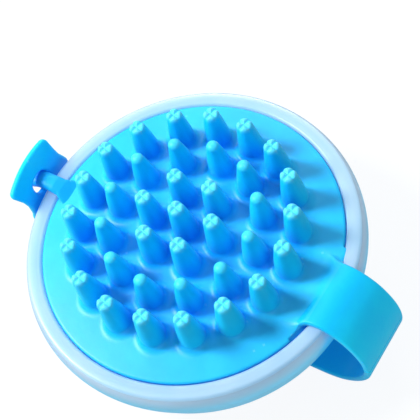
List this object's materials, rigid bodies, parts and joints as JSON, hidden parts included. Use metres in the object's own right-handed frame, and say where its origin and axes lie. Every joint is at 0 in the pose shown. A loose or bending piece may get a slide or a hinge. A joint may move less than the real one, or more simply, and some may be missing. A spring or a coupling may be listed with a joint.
{
  "type": "scalp massager brush",
  "caption": "Palm-held scalp massager: soft bristle pad in a frosted bezel ring, with a hand strap that loops behind the palm shell and buttons over a lug.",
  "frame": {"origin": "on the resting face, which is the flat underside of the palm strap, straight below the centre of the pad", "axes": "+Z the way the bristles point; +X towards the side where the strap leaves the pad, so the lug and the end tab are on -X"},
  "size_m": [0.1083, 0.0932, 0.0463],
  "materials": {
    "silicone": "satin moulded silicone, slightly translucent",
    "frosted_plastic": "frosted translucent polypropylene",
    "carrier_plastic": "plain moulded polypropylene, hidden under the pad"
  },
  "bodies": {
    "body_shell": {"bezel_ring": "frosted_plastic", "palm_shell": "frosted_plastic", "support_plate": "carrier_plastic"},
    "pad": {"brush_pad": "silicone", "outer_bristles": "silicone", "middle_bristles": "silicone", "inner_bristles": "silicone", "centre_bristle": "silicone", "strap_root": "silicone", "strap_lug": "silicone"},
    "loop": {"strap_loop": "silicone"},
    "band": {"palm_strap": "silicone"},
    "tab": {"end_tab": "silicone"}
  },
  "joints": [
    {"name": "pad_lift", "type": "slide", "parent": "body_shell", "child": "pad", "axis": [0, 0, 1], "range_m": [0, 0.01], "stiffness_N_per_m": 900},
    {"name": "strap_swing", "type": "hinge", "parent": "pad", "child": "loop", "pos_m": [0.0493, 0, 0.0286], "axis": [0, -1, 0], "range_deg": [0, 55], "stiffness_Nm_per_rad": 2, "deforming": ["strap_lug"]},
    {"name": "loop_unbend", "type": "hinge", "parent": "loop", "child": "band", "pos_m": [0.0516, 0, 0.0052], "axis": [0, -1, 0], "range_deg": [0, 55], "stiffness_Nm_per_rad": 2, "deforming": ["strap_lug"]},
    {"name": "tab_peel", "type": "hinge", "parent": "band", "child": "tab", "pos_m": [-0.05075, 0, 0.0114], "axis": [0, -1, 0], "range_deg": [0, 50], "stiffness_Nm_per_rad": 0.03, "deforming": ["strap_lug"]}
  ],
  "couplings": [
    {"joint": "loop_unbend", "follows": "strap_swing", "ratio": 1}
  ]
}
